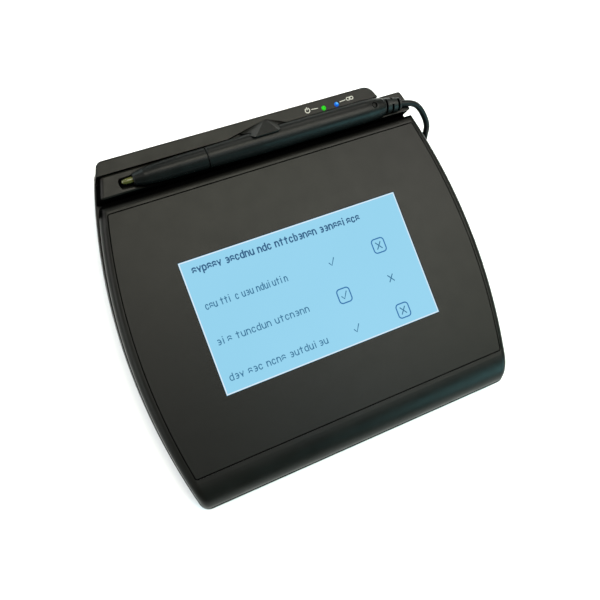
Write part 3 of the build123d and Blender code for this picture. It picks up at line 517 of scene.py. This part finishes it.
class Sheet:
    """collects flat shapes at one height of the faceplate frame into one thin mesh piece"""

    def __init__(self, z, thick=0.0):
        self.z, self.thick = z, thick
        self.verts, self.faces = [], []

    def poly(self, pts):
        n = len(self.verts)
        self.verts += [(x, y) for x, y in pts]
        self.faces.append(tuple(range(n, n + len(pts))))

    def ribbon(self, pts, width, close=False):
        h = width / 2
        n = len(pts)
        left, right = [], []
        for i, (x, y) in enumerate(pts):
            a = pts[i - 1] if (i > 0 or close) else pts[i]
            b = pts[(i + 1) % n] if (i < n - 1 or close) else pts[i]
            d1 = (x - a[0], y - a[1])
            d2 = (b[0] - x, b[1] - y)
            l1, l2 = math.hypot(*d1) or 1.0, math.hypot(*d2) or 1.0
            tx, ty = d1[0] / l1 + d2[0] / l2, d1[1] / l1 + d2[1] / l2
            l = math.hypot(tx, ty) or 1.0
            tx, ty = tx / l, ty / l
            if not close and i == 0:
                x, y = x - tx * h * 0.6, y - ty * h * 0.6
            if not close and i == n - 1:
                x, y = x + tx * h * 0.6, y + ty * h * 0.6
            left.append((x - ty * h, y + tx * h))
            right.append((x + ty * h, y - tx * h))
        m = n if close else n - 1
        for i in range(m):
            j = (i + 1) % n
            self.poly([right[i], right[j], left[j], left[i]])

    def disc(self, x, y, r, sides=24):
        self.poly([(x + r * math.cos(2 * math.pi * k / sides), y + r * math.sin(2 * math.pi * k / sides)) for k in range(sides)])

    def piece(self, name, material, body="housing"):
        verts = [face(x, y, self.z) for x, y in self.verts]
        return mesh_piece(name, verts, self.faces, material, body, flat=True)


def arc(cx, cy, rx, ry, a0, a1, n=10):
    return [(cx + rx * math.cos(math.radians(a0 + (a1 - a0) * k / n)), cy + ry * math.sin(math.radians(a0 + (a1 - a0) * k / n))) for k in range(n + 1)]


def rounded(cx, cy, w, h, r, n=7):
    pts = []
    for sx, sy, a in ((1, 1, 0), (-1, 1, 90), (-1, -1, 180), (1, -1, 270)):
        pts += arc(cx + sx * (w / 2 - r), cy + sy * (h / 2 - r), r, r, a, a + 90, n)
    return pts


# marks that stand for lines of writing: strokes and arcs of writing's size and rhythm that spell nothing
MARKS = [
    lambda w: [[(0, 0), (0, 1)], arc(w / 2, 0.5, w / 2, 0.48, 165, 0), [(w, 0.5), (w, 0)]],
    lambda w: [arc(w / 2, 0.5, w / 2, 0.5, -125, 125), [(w * 0.35, 0.5), (w, 0.5)]],
    lambda w: [[(0, 1), (0, 0.45)], arc(w / 2, 0.48, w / 2, 0.48, 180, 350), [(w, 1.0), (w, 0.0)]],
    lambda w: [arc(w / 2, 0.75, w / 2, 0.25, 190, 10), arc(w / 2, 0.25, w / 2, 0.25, 10, 190)],
    lambda w: [[(0, 1.0), (w * 0.5, 0.0), (w, 1.0)], [(w * 0.5, 0.0), (w * 0.5, 0.6)]],
    lambda w: [[(w * 0.1, 0.0), (w * 0.1, 1.45)], arc(w / 2, 0.5, w * 0.45, 0.48, 90, -90)],
    lambda w: [arc(w / 2, 0.5, w / 2, 0.5, 30, 330)],
    lambda w: [[(w, 0.0), (w, 1.4)], arc(w / 2, 0.5, w / 2, 0.48, 60, 300)],
    lambda w: [[(w / 2, 0.0), (w / 2, 1.0)], [(w / 2, 1.32), (w / 2, 1.42)]],
    lambda w: [[(0, 0.95), (0, -0.42)], arc(w / 2, 0.5, w / 2, 0.48, 120, -120)],
    lambda w: [[(w * 0.45, 0.0), (w * 0.45, 1.3)], [(0, 0.95), (w * 0.9, 0.95)]],
]
# how often each is drawn
WEIGHT = (5, 4, 5, 4, 2, 1, 5, 2, 3, 1, 2)


def write(sheet, rng, x0, x1, y0, y1, letters, size, width, tall=1.45):
    """a row of marks from x0 to x1 whose base line runs from y0 to y1, in words of so many marks"""
    total = sum(letters) + 0.62 * (len(letters) - 1)
    pitch = (x1 - x0) / total
    x = x0
    for word in letters:
        for k in range(word):
            pick = rng.choices(range(len(MARKS)), WEIGHT)[0]
            w = (0.30 if pick == 8 else 0.66) * pitch
            for line in MARKS[pick](w / size):
                pts = [(x + px * size, y0 + (y1 - y0) * (x - x0) / (x1 - x0) + py * size) for px, py in line]
                sheet.ribbon(pts, width)
            x += pitch
        x += 0.62 * pitch


rng = random.Random(11)
INK_Z = -0.128
head = Sheet(INK_Z)
write(head, rng, -50.8, 34.8, 24.9, 23.6, (6, 6, 3, 9, 9), 2.45, 0.66)
head.piece("picture_heading", INK_BOLD)
rows = Sheet(INK_Z)
write(rows, rng, -50.9, -9.9, 7.7, 7.7, (3, 3, 1, 3, 8), 2.3, 0.48)
write(rows, rng, -51.6, -5.2, -9.1, -9.1, (3, 7, 7), 2.3, 0.48)
write(rows, rng, -51.9, -2.0, -25.9, -25.9, (3, 3, 4, 8), 2.3, 0.48)
# choices: a tick or a cross in each column
CHOICES = [(12.9, 9.1, 1, 0), (38.6, 9.0, 0, 1), (12.9, -7.8, 1, 1), (38.5, -7.8, 0, 0), (12.9, -24.4, 1, 0), (38.5, -24.4, 0, 1)]
boxes = Sheet(INK_Z)
for cx, cy, tick, boxed in CHOICES:
    if tick:
        rows.ribbon([(cx - 1.5, cy - 0.1), (cx - 0.45, cy - 1.6), (cx + 1.6, cy + 1.7)], 0.52)
    else:
        rows.ribbon([(cx - 1.3, cy - 1.65), (cx + 1.3, cy + 1.65)], 0.52)
        rows.ribbon([(cx - 1.3, cy + 1.65), (cx + 1.3, cy - 1.65)], 0.52)
    if boxed:
        boxes.ribbon(rounded(cx, cy, 6.5, 6.9, 1.6), 0.60, close=True)
rows.piece("picture_rows", INK_PLAIN)
boxes.piece("picture_boxes", INK_BOX)
# painted highlight: the bright edge that the lit picture makes in the pane's bevel, drawn as a glowing ribbon
edge = Sheet(-0.115)
W, D = 112.0, 62.92
edge.ribbon([(-W / 2 + 0.42, -D / 2 + 0.42), (W / 2 - 0.42, -D / 2 + 0.42), (W / 2 - 0.42, D / 2 - 0.42), (-W / 2 + 0.42, D / 2 - 0.42)], 0.62, close=True)
edge.piece("pane_bevel_glow", RIM_GLOW)
# thin black seal between the pane and the plate
seal = Sheet(0.012)
seal.ribbon([(-W / 2 - 0.1, -D / 2 - 0.1), (W / 2 + 0.1, -D / 2 - 0.1), (W / 2 + 0.1, D / 2 + 0.1), (-W / 2 - 0.1, D / 2 + 0.1)], 0.42, close=True)
seal.piece("pane_seal", GASKET)



def bow(y, half, r, hand):
    return hand * (half - (r - math.sqrt(r * r - (y + 4.4) ** 2))) + 0.0143 * (y + 4.4)


def eased(pts, corners, r):
    """the closed line with the named corners rounded"""
    out = []
    n = len(pts)
    for i, p in enumerate(pts):
        if i not in corners:
            out.append(p)
            continue
        p, a, b = Vector(p), Vector(pts[i - 1]), Vector(pts[(i + 1) % n])
        u, v = (a - p).normalized(), (b - p).normalized()
        half = u.angle(v) / 2
        centre = p + (u + v).normalized() * (r / math.sin(half))
        t = r / math.tan(half)
        p0, p1 = p + u * t - centre, p + v * t - centre
        turn = p0.angle_signed(p1)
        for k in range(7):
            w = p0.copy()
            w.rotate(Matrix.Rotation(-turn * k / 6, 2))
            out.append(tuple(centre + w))
    return out


# painted shade in the seam round the faceplate: a black ribbon laid in the gap
y0, y1, mid = -60.6 + 0.21, 61.9 - 0.21, 0.21
ys = [y0 + (y1 - y0) * k / 40 for k in range(41)]
seam = [(bow(y, 86.4 - mid, 278.0 - mid, 1), y) for y in ys] + [(bow(y, 86.4 - mid, 278.0 - mid, -1), y) for y in reversed(ys)]
gap = Sheet(-0.05)
gap.ribbon(eased(seam, (0, 40, 41, 81), 1.1), 0.52, close=True)
gap.piece("plate_seam_shade", SEAM_SHADE)

# ---------------------------------------------------------------------------
# printed signs beside the two indicators: a power sign and a link sign
# ---------------------------------------------------------------------------
signs = Sheet(REAR_Z + 0.012)
cx, cy = 27.6, 81.0
signs.ribbon(arc(cx, cy, 1.15, 1.15, 120, 420, 20), 0.42)
signs.ribbon([(cx, cy + 0.35), (cx, cy + 1.5)], 0.42)
signs.ribbon([(cx + 2.2, cy), (cx + 5.4, cy - 0.25)], 0.34)
cx, cy = 50.6, 81.2
signs.ribbon([(cx - 5.6, cy - 0.4), (cx - 2.4, cy - 0.15)], 0.34)
signs.ribbon(rounded(cx - 0.75, cy, 2.0, 1.35, 0.6, 5), 0.38, close=True)
signs.ribbon(rounded(cx + 0.75, cy, 2.0, 1.35, 0.6, 5), 0.38, close=True)
signs.piece("indicator_signs", PRINT)

# ---------------------------------------------------------------------------
# stage and light
# ---------------------------------------------------------------------------
WORLD = 0.012
LIGHTS = [                        # direction from the pad, one metre away; side of the square box, power, colour
    ("over_left", (-0.2, -0.05, 0.979), 0.30, 0.9, (1.0, 0.95, 1.0)),
    ("over", (0.05, 0.2, 0.979), 0.34, 4.0, (1.0, 0.95, 0.82)),
    ("over_front", (0.3, -0.3, 0.906), 0.26, 1.1, (0.70, 0.92, 1.0)),
    ("over_right", (0.3, -0.05, 0.953), 0.26, 1.25, (1.0, 0.92, 1.0)),
    ("over_rear", (0.3, 0.2, 0.933), 0.34, 2.6, (0.95, 1.0, 0.75)),
    ("right", (0.55, -0.05, 0.834), 0.40, 4.9, (1.0, 1.0, 0.83)),
    ("right_rear", (0.55, 0.2, 0.811), 0.34, 1.9, (1.0, 0.88, 0.95)),
    ("rear_right", (0.33, 0.72, 0.60), 0.4, 3.0, (1.0, 0.97, 0.88)),
    ("left_rear", (-0.9, 0.55, 0.75), 0.5, 4.4, (1.0, 0.90, 0.90)),
    ("left", (-0.9, 0.0, 0.5), 0.5, 4.5, (0.92, 1.0, 0.98)),
    ("rear", (-0.5, 0.9, 0.4), 0.5, 7.6, (0.80, 0.98, 1.0)),
    ("front", (0.7, -0.8, 0.4), 0.5, 6.6, (0.40, 0.95, 1.0)),
]

floor = bpy.data.meshes.new("floor")
floor.from_pydata([(-3, -3, 0), (3, -3, 0), (3, 3, 0), (-3, 3, 0)], [], [(0, 1, 2, 3)])
floor_ob = link(bpy.data.objects.new("floor", floor))
fm = Mat("floor")
fm.link(fm.ramp(fm.noise(3.0, 2.0), [(0.3, (0.86, 0.86, 0.86)), (0.7, (0.9, 0.9, 0.9))]), fm.p.inputs["Base Color"])
fm.set(Roughness=0.9)
floor.materials.append(fm.m)

world = bpy.data.worlds.new("world")
scene.world = world
world.use_nodes = True
wt = world.node_tree
back = wt.nodes["Background"]
back.inputs[0].default_value = (0.90, 0.98, 1.0, 1.0)
back.inputs[1].default_value = WORLD


def area(name, where, target, size, power, colour=(1, 1, 1)):
    d = bpy.data.lights.new(name, "AREA")
    d.shape = "RECTANGLE"
    d.size, d.size_y = size
    d.energy = power
    d.color = colour
    o = link(bpy.data.objects.new(name, d))
    o.location = where
    o.rotation_euler = (Vector(target) - Vector(where)).to_track_quat("-Z", "Y").to_euler()
    return o


for name, towards, size, power, colour in LIGHTS:
    area(name, tuple(Vector(towards).normalized()), (0, 0, 0), (size, size), power, colour)

scene.view_settings.view_transform = "Standard"
scene.view_settings.look = "None"
